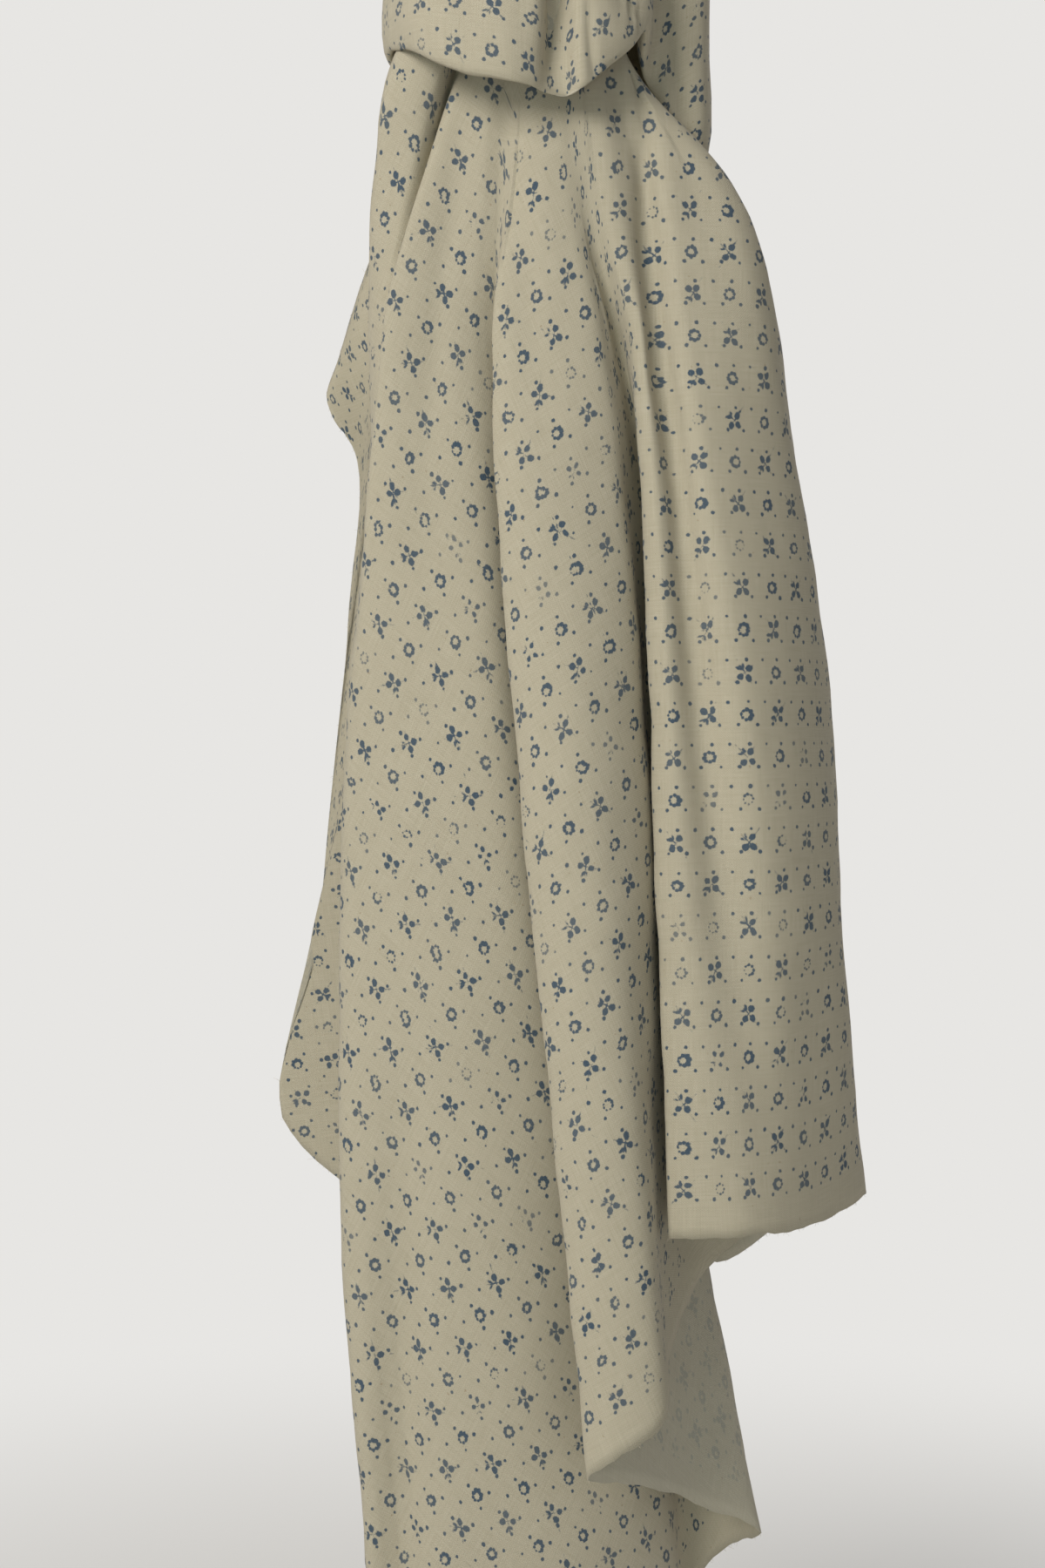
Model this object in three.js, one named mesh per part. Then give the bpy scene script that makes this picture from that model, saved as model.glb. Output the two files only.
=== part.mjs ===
// A block-printed cotton cloth, hanging by its gathered top. Millimetres, +Z up, front towards -Y.
// The cloth is one sheet. Below the pinch it falls in pleats, each along a straight line of the flat
// cloth through the pinch point. Above the pinch it blouses out into a puffed band and gathers at the top.
import * as THREE from 'three';
import { mergeVertices } from 'three/addons/utils/BufferGeometryUtils.js';

const THICKNESS = 1.2;

// The flat cloth, as distances from the pinch point to its four edges.
const FLAT = { right: 227, left: 556, down: 510, up: 132 };

const PINCH = { x: 0, y: 20, z: -17 };
const STEEPEST_SPREAD = 0.55;

// The hung lengths, measured from the pinch point, of the neck and of the levels in the fold table.
// A fold with fewer levels ends above the next one, or runs on straight.
const NECK_LENGTH = 16;
const LEVELS = { top: 60, waist: 120, hip: 170, knee: 330, hem: 510, low: 650 };

// Slack is cloth crumpled up under the band, all of it within this length of the pinch point.
const SLACK_LENGTH = 150;
const NECK_SCALE = 0.42;

// The band: how far its inner layer lies inside the outer one, and the heights that shape it.
const BAND = { inset: 3.4, roll: 3.2, neckRise: 5, shoulderZ: -24, crownZ: -7 };
const BAND_SCALE = { shoulder: 0.95, crown: 0.58, gather: 0.2 };

const STEPS_PER_FOLD = 2;
const HANGING_ROWS = 19;

// One row for each fold, from the right-hand end at the back, round the front, to the left-hand end
// at the back. The columns are its name; flat, the angle of its line on the flat cloth, in degrees from
// straight down; slack; band, the x, y and lowest z of the band above it; then x and y at each level.
const FOLDS = [
  // name, flat, slack, band, top, waist, hip, knee, hem, low
  ['rightEnd', 90, 0, [2, 60, -78], [6, 42], [-8, 58], [-22, 72]],
  ['backInner', 60, 0, [24, 62, -88], [20, 38], [29.5, 60.5], [28, 76], [8, 96]],
  ['backOuter', 40, 0, [46, 59, -96], [28, 25], [60, 38], [72, 64], [52, 96]],
  ['backTurn', 30, 0, [59.5, 36, -104], [26, 13], [62, 16], [84.5, 34], [88, 86], [44, 108]],
  ['rightCorner', 24, 10, [56.5, 15, -103], [25, 5.2], [66, 5], [84, 14], [107, 68], [80, 96], [20, 122]],
  ['rightSide', 20, 14, [45, 10.5, -92], [25.3, 1.5], [60.5, -1], [77.5, 4.5], [112, 48], [111, 95]],
  ['rightTurn', 15, 8, [35.5, 7, -78], [23.7, -1.8], [51.5, -3], [65, -1], [102, 20], [127, 66]],
  ['rightFace', 9, 0, [34.5, -12, -65.5], [21.3, -3.6], [42, -4], [50, -3.5], [76, -3.5], [101, 23]],
  ['softTrough', 5.2, 0, [29, -19, -74], [18, -4], [34, -1.5], [39.5, 0], [56.5, -0.5], [75, 2]],
  ['gapRidge', 2.8, 0, [19, -25, -84], [13, -7.6], [23, -7.4], [32.5, -4.5], [44, -3.5], [58, 1]],
  ['gapLip', 1, 0, [8, -28, -93], [8, -8.2], [17, -8], [28.5, -1.5], [36.5, 5], [43, 6]],
  ['pleatFront', -4, 0, [2, -22, -94], [7, -8.4], [14.6, -7.6], [27, 4], [49, 20], [68, 27]],
  ['pleatTurn', -9, 0, [-4, -24, -93], [5, -8.6], [12.6, -7.2], [25.5, 8], [64, 37], [97, 48]],
  ['pleatBack', -12, 0, [-9, -29, -92], [3, -8.7], [10.6, -7.4], [23.5, 6], [58, 43], [82, 56]],
  ['pleatInner', -18, 0, [-16, -32, -91], [1, -8.8], [8.6, -8], [21, -0.5], [39, 24], [56, 44]],
  ['midRight', -24, 0, [-24, -32, -89], [-2.2, -9], [4, -8.8], [16, -5.5], [33, 4], [41, 16], [53, 26]],
  ['midFront', -28, 0, [-33, -30, -87], [-7, -9], [-5.5, -8.8], [0, -7], [13, -10], [33, -6], [49, -4]],
  ['midFace', -30.2, 0, [-41, -28, -84], [-11.2, -8.4], [-13.5, -7.6], [-16.5, -6], [-5, -8],
    [14, -7], [29, -6]],
  ['midLeft', -31.7, 0, [-47, -25, -81], [-13.8, -7.4], [-18.3, -5.2], [-25, -1.5], [-15, 2],
    [3, 2], [17, 2]],
  ['behindMid', -33, 0, [-53, -20, -77], [-15.5, -6.4], [-20, -3.2], [-24.4, 1.4], [-5, 13],
    [19, 17], [36, 22]],
  ['behindFace', -35.6, 0, [-57, -15, -74], [-16.8, -5.6], [-20.8, -1.8], [-22, 3.6], [8, 25],
    [40, 42], [60, 50]],
  ['behindRight', -38.2, 0, [-60, -10, -72], [-18, -5], [-21.7, -1.1], [-20.8, 5.8], [19, 36],
    [58, 68], [85, 65]],
  ['mainFacet', -39.4, 0, [-62, -6, -71], [-19.1, -4.6], [-22.7, -0.8], [-21.5, 7.4], [18, 43],
    [58, 78], [72, 82]],
  ['mainValley', -41.5, 0, [-63.5, -3, -70], [-20.3, -4.4], [-24, -0.9], [-24, 7], [8, 40],
    [46, 72], [54, 84]],
  ['mainRight', -44, 0, [-64.5, 0, -69], [-22, -4.5], [-26.2, -1.4], [-28, 5], [-5, 26], [28, 48],
    [47, 62]],
  ['mainCorner', -47.5, 0, [-65.5, 3, -68], [-25, -4.6], [-29.6, -1.8], [-34, 3], [-20, 15],
    [4, 30], [17, 38]],
  ['mainFace', -52, 0, [-66, 6, -68], [-29, -3.2], [-36.5, -0.8], [-46, 1.8], [-44, 17],
    [-30, 24], [-22, 30]],
  ['mainLeft', -57, 0, [-66.5, 9, -68], [-33.5, 0.5], [-52.5, 0.5], [-66.5, 4], [-79, 29],
    [-82.5, 38], [-73, 38]],
  ['leftValley', -61, 0, [-66.5, 12, -68], [-36, 6], [-52.5, 9], [-64, 13], [-84, 38], [-86, 50],
    [-75, 52]],
  ['columnRight', -65, 0, [-66, 16, -69], [-41, -6], [-58, 5], [-69, 17], [-80, 47], [-81, 62],
    [-68, 63]],
  ['columnLeft', -70, 0, [-65, 21, -70], [-58, -4], [-70.5, 12.5], [-74, 28], [-65, 56], [-61, 74]],
  ['columnBack', -75, 0, [-62, 28, -71], [-60, 10], [-67.5, 26], [-66, 40], [-40, 61], [-23, 82]],
  ['backPleat', -81, 0, [-60, 37, -73], [-52, 20], [-53.5, 34.5], [-48, 47], [-14, 67], [11.5, 89]],
  ['backPleatTurn', -84, 4, [-58.5, 44, -75], [-48, 27], [-50.5, 42.5], [-46, 55], [-14, 75], [11, 98]],
  ['leftBack', -92, 18, [-55, 51, -76], [-44, 31], [-56.5, 48], [-58, 60], [-56, 86], [-54, 108]],
  ['leftCorner', -103.4, 68, [-49.5, 57, -77], [-45, 34.5], [-59, 51], [-63, 62], [-78.5, 93],
    [-120, 119]],
  ['edgeSkirt', -105.6, 63, [-43.5, 60, -77.5], [-45, 37], [-60, 51.5], [-64.5, 62.6],
    [-86.5, 96], [-117, 119]],
  ['edgeLow', -108, 58, [-37, 62, -78], [-45, 39], [-61, 52], [-66, 63.2], [-91, 99], [-115, 119]],
  ['edgeMid', -113, 50, [-30, 63.2, -78], [-44.5, 41.5], [-62.5, 53], [-69, 64.5], [-94, 101]],
  ['edgeHigh', -122, 27, [-22.5, 63.8, -78], [-43.5, 44.3], [-65, 54.5], [-75.5, 67], [-95, 100]],
  ['flareTip', -128, 9, [-15, 64, -78], [-44, 46], [-68, 56.5], [-83, 71], [-136, 86]],
  ['leftEnd', -136, 2, [-8, 63.8, -78], [-44.5, 46.5], [-69.5, 59], [-86, 76]],
].map(([name, flat, slack, band, ...levels]) => ({ name, flat, slack, band, levels }));

const toRadians = THREE.MathUtils.degToRad;

// Length along the cloth from the pinch point to its edge, along the line at this flat angle.
function lengthToEdge(angle) {
  const across = Math.sin(angle);
  const down = Math.cos(angle);
  const side = across > 0 ? FLAT.right / across : FLAT.left / Math.max(-across, 1e-9);
  const end = down > 0 ? FLAT.down / down : FLAT.up / Math.max(-down, 1e-9);
  return Math.min(side, end);
}

function neckPoint(fold) {
  return [
    PINCH.x + (fold.band[0] - PINCH.x) * NECK_SCALE,
    PINCH.y + (fold.band[1] - PINCH.y) * NECK_SCALE,
  ];
}

// x and y of one fold at a hung length: a smooth curve through its levels, straight below the last.
function foldAt(fold, length) {
  const points = [neckPoint(fold), ...fold.levels];
  const lengths = [NECK_LENGTH, ...Object.values(LEVELS)];
  const last = points.length - 1;
  const slope = (i, axis) => {
    const a = Math.max(i - 1, 0);
    const b = Math.min(i + 1, last);
    return (points[b][axis] - points[a][axis]) / (lengths[b] - lengths[a]);
  };
  if (length >= lengths[last]) {
    return [0, 1].map((axis) => points[last][axis] + slope(last, axis) * (length - lengths[last]));
  }
  let i = 0;
  while (length > lengths[i + 1]) i += 1;
  const span = lengths[i + 1] - lengths[i];
  const t = Math.max(length - lengths[i], 0) / span;
  return [0, 1].map((axis) => {
    const leaving = (t ** 3 - 2 * t ** 2 + t) * span * slope(i, axis);
    const arriving = (t ** 3 - t ** 2) * span * slope(i + 1, axis);
    const blend = t * t * (3 - 2 * t);
    return points[i][axis] * (1 - blend) + points[i + 1][axis] * blend + leaving + arriving;
  });
}

// The length left hanging, once the slack is taken off.
function hungLength(fold, length) {
  return length - fold.slack * Math.min(length / SLACK_LENGTH, 1);
}

function heightAt(x, y, hung) {
  const aside = Math.min(Math.hypot(x - PINCH.x, y - PINCH.y), STEEPEST_SPREAD * hung);
  return PINCH.z - Math.sqrt(hung ** 2 - aside ** 2);
}

// Smooth curve through one point for each fold, sampled a few times between folds.
function acrossFolds(points) {
  const curve = new THREE.CatmullRomCurve3(points, false, 'centripetal');
  return curve.getPoints((points.length - 1) * STEPS_PER_FOLD);
}

// One row of the hanging part. share is 1 at the cloth's edge and 0 at the neck.
function hangingRow(share) {
  const points = FOLDS.map((fold) => {
    const edge = lengthToEdge(toRadians(fold.flat));
    const hung = hungLength(fold, THREE.MathUtils.lerp(NECK_LENGTH, edge, share));
    const [x, y] = foldAt(fold, hung);
    return new THREE.Vector3(x, y, heightAt(x, y, hung));
  });
  return acrossFolds(points);
}

// The band's outline seen from above, moved inwards by inset and drawn in towards its middle by scale.
function bandOutline(inset, scale) {
  const outline = FOLDS.map((fold) => new THREE.Vector2(fold.band[0], fold.band[1]));
  return outline.map((point, i) => {
    const before = outline[Math.max(i - 1, 0)];
    const after = outline[Math.min(i + 1, outline.length - 1)];
    const along = after.clone().sub(before).normalize();
    const inwards = new THREE.Vector2(-along.y, along.x).multiplyScalar(-inset);
    const x = point.x + inwards.x;
    const y = point.y + inwards.y;
    return new THREE.Vector2(PINCH.x + (x - PINCH.x) * scale, PINCH.y + (y - PINCH.y) * scale);
  });
}

function bandRow(inset, scale, height) {
  const outline = bandOutline(inset, scale);
  return acrossFolds(outline.map((p, i) => new THREE.Vector3(p.x, p.y, height(FOLDS[i].band[2]))));
}

// The band's rows: from the neck out and down the hidden layer, round the roll at its lower edge,
// then up its face and in to the gather.
function bandRows() {
  const { inset, roll, neckRise, shoulderZ, crownZ } = BAND;
  const neckZ = PINCH.z - NECK_LENGTH;
  return [
    bandRow(inset * 2, 0.8, () => neckZ + neckRise),
    bandRow(inset, 0.97, () => neckZ - neckRise),
    bandRow(inset, 1, (low) => low + roll * 1.6),
    bandRow(inset * 0.55, 1, (low) => low),
    bandRow(0, 1, (low) => low + roll),
    bandRow(-0.6, 1, (low) => THREE.MathUtils.lerp(low, shoulderZ, 0.5)),
    bandRow(0, BAND_SCALE.shoulder, () => shoulderZ),
    bandRow(0, BAND_SCALE.crown, () => crownZ),
    bandRow(0, BAND_SCALE.gather, () => 0),
  ];
}

function sheetRows() {
  const rows = [];
  for (let i = HANGING_ROWS; i >= 0; i -= 1) rows.push(hangingRow(i / HANGING_ROWS));
  return rows.concat(bandRows());
}

// Unit normals of a grid of points, pointing to the printed side.
function gridNormals(rows) {
  return rows.map((row, j) => row.map((_, i) => {
    const up = rows[Math.min(j + 1, rows.length - 1)][i].clone().sub(rows[Math.max(j - 1, 0)][i]);
    const along = row[Math.min(i + 1, row.length - 1)].clone().sub(row[Math.max(i - 1, 0)]);
    return up.cross(along).normalize();
  }));
}

// A closed shell of even thickness on both sides of the grid.
function shell(rows, thickness) {
  const normals = gridNormals(rows);
  const rowCount = rows.length;
  const columnCount = rows[0].length;
  const positions = [];
  [0.5, -0.5].forEach((side) => {
    rows.forEach((row, j) => row.forEach((point, i) => {
      const moved = point.clone().addScaledVector(normals[j][i], side * thickness);
      positions.push(moved.x, moved.y, moved.z);
    }));
  });
  const layer = rowCount * columnCount;
  const index = [];
  const quad = (a, b, c, d) => index.push(a, b, c, a, c, d);
  for (let j = 0; j < rowCount - 1; j += 1) {
    for (let i = 0; i < columnCount - 1; i += 1) {
      const a = j * columnCount + i;
      const b = a + 1;
      const c = b + columnCount;
      const d = a + columnCount;
      quad(a, d, c, b);
      quad(a + layer, b + layer, c + layer, d + layer);
    }
  }
  const rim = (a, b) => quad(a, b, b + layer, a + layer);
  const lastRow = (rowCount - 1) * columnCount;
  for (let i = 0; i < columnCount - 1; i += 1) {
    rim(i, i + 1);
    rim(lastRow + i + 1, lastRow + i);
  }
  for (let j = 0; j < rowCount - 1; j += 1) {
    rim((j + 1) * columnCount, j * columnCount);
    rim((j + 1) * columnCount - 1, (j + 2) * columnCount - 1);
  }
  const geometry = new THREE.BufferGeometry();
  geometry.setAttribute('position', new THREE.Float32BufferAttribute(positions, 3));
  geometry.setIndex(index);
  return mergeVertices(geometry);
}

const cotton = new THREE.MeshStandardMaterial({ color: 0xd9cfb4, roughness: 0.92, metalness: 0 });
const cloth = new THREE.Mesh(shell(sheetRows(), THICKNESS), cotton);
cloth.name = 'cloth';
cloth.position.set(-PINCH.x, -PINCH.y, 0);

const part = new THREE.Group();
part.add(cloth);

export default part;
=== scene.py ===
import math

import bpy
import numpy as np
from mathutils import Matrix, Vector, noise


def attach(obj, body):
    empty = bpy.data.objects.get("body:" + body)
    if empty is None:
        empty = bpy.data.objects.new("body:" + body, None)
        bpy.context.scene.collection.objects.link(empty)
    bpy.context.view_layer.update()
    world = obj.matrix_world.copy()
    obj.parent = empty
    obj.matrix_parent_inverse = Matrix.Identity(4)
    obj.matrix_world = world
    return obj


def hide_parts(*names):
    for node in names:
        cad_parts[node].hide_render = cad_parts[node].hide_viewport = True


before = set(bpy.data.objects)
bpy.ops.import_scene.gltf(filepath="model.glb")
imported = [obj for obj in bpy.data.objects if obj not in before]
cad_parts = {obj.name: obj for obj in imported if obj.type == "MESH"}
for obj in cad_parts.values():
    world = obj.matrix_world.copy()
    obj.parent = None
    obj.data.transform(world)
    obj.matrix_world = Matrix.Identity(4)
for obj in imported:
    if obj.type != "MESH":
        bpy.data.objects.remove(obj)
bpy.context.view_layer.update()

mm = 0.001
tiny = 1e-9  # keeps a length that is divided by from being zero
bpy.ops.object.select_all(action="DESELECT")

# The cloth's own sizes, in millimetres. Right, left, down and up are how far the flat cloth reaches from the
# pinch point, where all folds meet.
cloth = {
    "right": 227,
    "left": 556,
    "down": 510,
    "up": 132,
    "thickness": 0.42,
    "stepsPerFold": 9,  # columns of the mesh from one fold to the next
    "hangingRows": 104,
}

# Where the folds meet, and how the neck and the puffed band above it are shaped.
gather = {
    "x": 0,
    "y": 20,
    "z": -17,
    "neckLength": 16,  # from the pinch point to the neck
    "neckScale": 0.42,  # how far the band's outline is drawn in there
    "steepestSpread": 0.55,  # the most that a fold lies out from the pinch point, to its hung length
    "slackLength": 150,  # the length over which a fold's slack builds up
}

# The hung lengths at which the places in the fold table apply.
levels = [60, 120, 170, 330, 510, 650]

# One row for each fold, from the right-hand end at the back, round the front, to the left-hand end at the
# back. It gives the name, the angle of the fold's line on the flat cloth, its slack, the band above it
# (x, y, lowest z), and then x and y at each level.
folds = [
    ("rightEnd", 90, 0, (2, 60, -78), (6, 42), (-8, 58), (-22, 72)),
    ("backInner", 60, 0, (24, 62, -88), (20, 38), (29.5, 60.5), (28, 76), (8, 96)),
    ("backOuter", 40, 0, (46, 59, -96), (28, 25), (60, 38), (72, 64), (52, 96)),
    ("backTurn", 30, 0, (59.5, 36, -104), (26, 13), (62, 16), (84.5, 34), (88, 86), (44, 108)),
    ("rightCorner", 24, 10, (56.5, 15, -103), (25, 5.2), (66, 5), (84, 14), (107, 68), (80, 96),
     (20, 122)),
    ("rightSide", 20, 14, (45, 10.5, -92), (25.3, 1.5), (60.5, -1), (77.5, 4.5), (112, 48), (111, 95)),
    ("rightTurn", 15, 8, (35.5, 7, -78), (23.7, -1.8), (51.5, -3), (65, -1), (102, 20), (127, 66)),
    ("rightFace", 9, 0, (34.5, -12, -65.5), (21.3, -3.6), (42, -4), (50, -3.5), (76, -3.5), (101, 23)),
    ("softTrough", 5.2, 0, (29, -19, -74), (18, -4), (34, -1.5), (39.5, 0), (56.5, -0.5), (75, 2)),
    ("gapRidge", 2.8, 0, (19, -25, -84), (13, -7.6), (23, -7.4), (32.5, -4.5), (44, -3.5), (58, 1)),
    ("gapLip", 1, 0, (8, -28, -93), (8, -8.2), (17, -8), (28.5, -1.5), (36.5, 5), (43, 6)),
    ("pleatFront", -4, 0, (2, -22, -94), (7, -8.4), (14.6, -7.6), (27, 4), (49, 20), (68, 27)),
    ("pleatTurn", -9, 0, (-4, -24, -93), (5, -8.6), (12.6, -7.2), (25.5, 8), (64, 37), (97, 48)),
    ("pleatBack", -12, 0, (-9, -29, -92), (3, -8.7), (10.6, -7.4), (23.5, 6), (58, 43), (82, 56)),
    ("pleatInner", -18, 0, (-16, -32, -91), (1, -8.8), (8.6, -8), (21, -0.5), (39, 24), (56, 44)),
    ("midRight", -24, 0, (-24, -32, -89), (-2.2, -9), (4, -8.8), (16, -5.5), (33, 4), (41, 16), (53, 26)),
    ("midFront", -28, 0, (-33, -30, -87), (-7, -9), (-5.5, -8.8), (0, -7), (13, -10), (33, -6), (49, -4)),
    ("midFace", -30.2, 0, (-41, -28, -84), (-11.2, -8.4), (-13.5, -7.6), (-16.5, -6), (-5, -8),
     (14, -7), (29, -6)),
    ("midLeft", -31.7, 0, (-47, -25, -81), (-13.8, -7.4), (-18.3, -5.2), (-25, -1.5), (-15, 2),
     (3, 2), (17, 2)),
    ("behindMid", -33, 0, (-53, -20, -77), (-15.5, -6.4), (-20, -3.2), (-24.4, 1.4), (-5, 13),
     (19, 17), (36, 22)),
    ("behindFace", -35.6, 0, (-57, -15, -74), (-16.8, -5.6), (-20.8, -1.8), (-22, 3.6), (8, 25),
     (40, 42), (60, 50)),
    ("behindRight", -38.2, 0, (-60, -10, -72), (-18, -5), (-21.7, -1.1), (-20.8, 5.8), (19, 36),
     (58, 68), (85, 65)),
    ("mainFacet", -39.4, 0, (-62, -6, -71), (-19.1, -4.6), (-22.7, -0.8), (-21.5, 7.4), (18, 43),
     (58, 78), (72, 82)),
    ("mainValley", -41.5, 0, (-63.5, -3, -70), (-20.3, -4.4), (-24, -0.9), (-24, 7), (8, 40),
     (46, 72), (54, 84)),
    ("mainRight", -44, 0, (-64.5, 0, -69), (-22, -4.5), (-26.2, -1.4), (-28, 5), (-5, 26),
     (28, 48), (47, 62)),
    ("mainCorner", -47.5, 0, (-65.5, 3, -68), (-25, -4.6), (-29.6, -1.8), (-34, 3), (-20, 15),
     (4, 30), (17, 38)),
    ("mainFace", -52, 0, (-66, 6, -68), (-29, -3.2), (-36.5, -0.8), (-46, 1.8), (-44, 17),
     (-30, 24), (-22, 30)),
    ("mainLeft", -57, 0, (-66.5, 9, -68), (-33.5, 0.5), (-52.5, 0.5), (-66.5, 4), (-79, 29),
     (-82.5, 38), (-73, 38)),
    ("leftValley", -61, 0, (-66.5, 12, -68), (-36, 6), (-52.5, 9), (-64, 13), (-84, 38),
     (-86, 50), (-75, 52)),
    ("columnRight", -65, 0, (-66, 16, -69), (-41, -6), (-58, 5), (-69, 17), (-80, 47), (-81, 62),
     (-68, 63)),
    ("columnLeft", -70, 0, (-65, 21, -70), (-58, -4), (-70.5, 12.5), (-74, 28), (-65, 56), (-61, 74)),
    ("columnBack", -75, 0, (-62, 28, -71), (-60, 10), (-67.5, 26), (-66, 40), (-40, 61), (-23, 82)),
    ("backPleat", -81, 0, (-60, 37, -73), (-52, 20), (-53.5, 34.5), (-48, 47), (-14, 67), (11.5, 89)),
    ("backPleatTurn", -84, 4, (-58.5, 44, -75), (-48, 27), (-50.5, 42.5), (-46, 55), (-14, 75), (11, 98)),
    ("leftBack", -92, 18, (-55, 51, -76), (-44, 31), (-56.5, 48), (-58, 60), (-56, 86), (-54, 108)),
    ("leftCorner", -103.4, 68, (-49.5, 57, -77), (-45, 34.5), (-59, 51), (-63, 62), (-78.5, 93),
     (-120, 119)),
    ("edgeSkirt", -105.6, 63, (-43.5, 60, -77.5), (-45, 37), (-60, 51.5), (-64.5, 62.6),
     (-86.5, 96), (-117, 119)),
    ("edgeLow", -108, 58, (-37, 62, -78), (-45, 39), (-61, 52), (-66, 63.2), (-91, 99), (-115, 119)),
    ("edgeMid", -113, 50, (-30, 63.2, -78), (-44.5, 41.5), (-62.5, 53), (-69, 64.5), (-94, 101)),
    ("edgeHigh", -122, 27, (-22.5, 63.8, -78), (-43.5, 44.3), (-65, 54.5), (-75.5, 67), (-95, 100)),
    ("flareTip", -128, 9, (-15, 64, -78), (-44, 46), (-68, 56.5), (-83, 71), (-136, 86)),
    ("leftEnd", -136, 2, (-8, 63.8, -78), (-44.5, 46.5), (-69.5, 59), (-86, 76)),
]

# The band's rows, from the neck out and down the hidden layer, round the roll, up the face and in to the
# gather: inset, scale about the pinch, share of the band's lowest z, and height added to it.
bandRows = [
    (6.8, 0.8, 0, -28),
    (3.4, 0.97, 0, -38),
    (3.4, 1.0, 0.5, -16),
    (3.4, 1.0, 1, 5.1),
    (1.9, 1.0, 1, 0),
    (0, 1.0, 1, 3.2),
    (-0.6, 1.0, 0.5, -12),
    (0, 0.95, 0, -24),
    (0, 0.58, 0, -7),
    (0, 0.2, 0, 0),
]
bandStepsPerRow = 3
bandFaceRow = 7  # the row along which the print on the band is true to size


def lengthToEdge(angle):
    # From the pinch point to the cloth's edge, along the line at this flat angle.
    across, down = math.sin(angle), math.cos(angle)
    side = cloth["right"] / across if across > 0 else cloth["left"] / max(-across, tiny)
    end = cloth["down"] / down if down > 0 else cloth["up"] / max(-down, tiny)
    return min(side, end)


def centripetal(points, steps):
    # A smooth curve through every point, sampled the same number of times between each two.
    points = [np.array(p, float) for p in points]
    points = [2 * points[0] - points[1]] + points + [2 * points[-1] - points[-2]]
    curve = []
    for i in range(1, len(points) - 2):
        p0, p1, p2, p3 = points[i - 1:i + 3]
        d0, d1, d2 = (max(np.linalg.norm(b - a), 1e-6) ** 0.5 for a, b in ((p0, p1), (p1, p2), (p2, p3)))
        leave = ((p1 - p0) / d0 - (p2 - p0) / (d0 + d1) + (p2 - p1) / d1) * d1
        arrive = ((p2 - p1) / d1 - (p3 - p1) / (d1 + d2) + (p3 - p2) / d2) * d1
        for k in range(steps + (i == len(points) - 3)):
            t = k / steps
            curve.append(p1 + leave * t + (3 * (p2 - p1) - 2 * leave - arrive) * t ** 2
                         + (leave + arrive - 2 * (p2 - p1)) * t ** 3)
    return np.array(curve)


def foldAt(fold, hung):
    # x and y of one fold at a hung length: smooth through its levels, straight below the last.
    band, places = fold[3], fold[4:]
    neck = [gather[a] + (band[i] - gather[a]) * gather["neckScale"] for i, a in enumerate("xy")]
    points = np.array([neck] + list(places), float)
    lengths = [gather["neckLength"]] + levels[:len(places)]
    last = len(points) - 1

    def slope(i):
        a, b = max(i - 1, 0), min(i + 1, last)
        return (points[b] - points[a]) / (lengths[b] - lengths[a])

    if hung >= lengths[last]:
        return points[last] + slope(last) * (hung - lengths[last])
    i = max(k for k in range(last) if hung >= lengths[k] or k == 0)
    span = lengths[i + 1] - lengths[i]
    t = max(hung - lengths[i], 0) / span
    blend = t * t * (3 - 2 * t)
    leave = (t ** 3 - 2 * t ** 2 + t) * span * slope(i)
    arrive = (t ** 3 - t ** 2) * span * slope(i + 1)
    return points[i] * (1 - blend) + points[i + 1] * blend + leave + arrive


# Faces of the hanging cloth that show, from right to left. On each the print lies evenly: across and down
# are the directions, in degrees, of the flat cloth's width and length on the face laid out level and
# upright. Lift brings the last row of print level with the hem. Between faces, where the cloth is folded
# away, one face's print runs into the next.
faces = [
    # first fold, middle fold, last fold, across, down, lift
    ("rightEnd", "rightFace", "gapLip", 1, -88, 0),
    ("midRight", "midFront", "midLeft", 35, -66, 7.5),
    ("mainValley", "mainFace", "columnLeft", 64, -40, 0),
    ("leftBack", "leftCorner", "leftEnd", 98, 8, 0),
]
# How the print is fitted to the folds, the faces and the hem.
printFit = {
    "rings": 60,  # how many distances from the pinch point the folded print is worked out at
    "leastRadius": 60,  # nearer than this, the folded print is spread as it is here
    "evenFrom": 16,  # lengths between which the print goes over from the folds to the faces
    "evenTo": 55,
    "matchedAt": 95,  # length at which a face's print agrees with the folded print
    "edgeFrom": 0.62,  # shares of the length between which the print goes over to the hem's
    "edgeTo": 0.97,
    "hemFrom": (-20, -14),  # fold angles between which this comes in, from the left and from the right
    "hemTo": (30, 22),
}


def columnOf(name):
    return [fold[0] for fold in folds].index(name) * cloth["stepsPerFold"]


def ramp(value, low, high):
    # Smoothly from 0 at low to 1 at high.
    t = min(max((value - low) / (high - low), 0), 1)
    return t * t * (3 - 2 * t)


def hangingRow(share):
    # One row across the hanging cloth: share is 0 at the neck and 1 at the edge.
    places = []
    for fold in folds:
        length = lengthAt(fold[1], share)
        hung = length - fold[2] * min(length / gather["slackLength"], 1)
        x, y = foldAt(fold, hung)
        aside = min(math.hypot(x - gather["x"], y - gather["y"]), gather["steepestSpread"] * hung)
        places.append((x, y, gather["z"] - math.sqrt(hung ** 2 - aside ** 2)))
    return centripetal(places, cloth["stepsPerFold"])


def lengthAt(degrees, share):
    # Length from the pinch point along the line at this flat angle, at a share of the way from neck to edge.
    return gather["neckLength"] + (lengthToEdge(math.radians(degrees)) - gather["neckLength"]) * share


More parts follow.
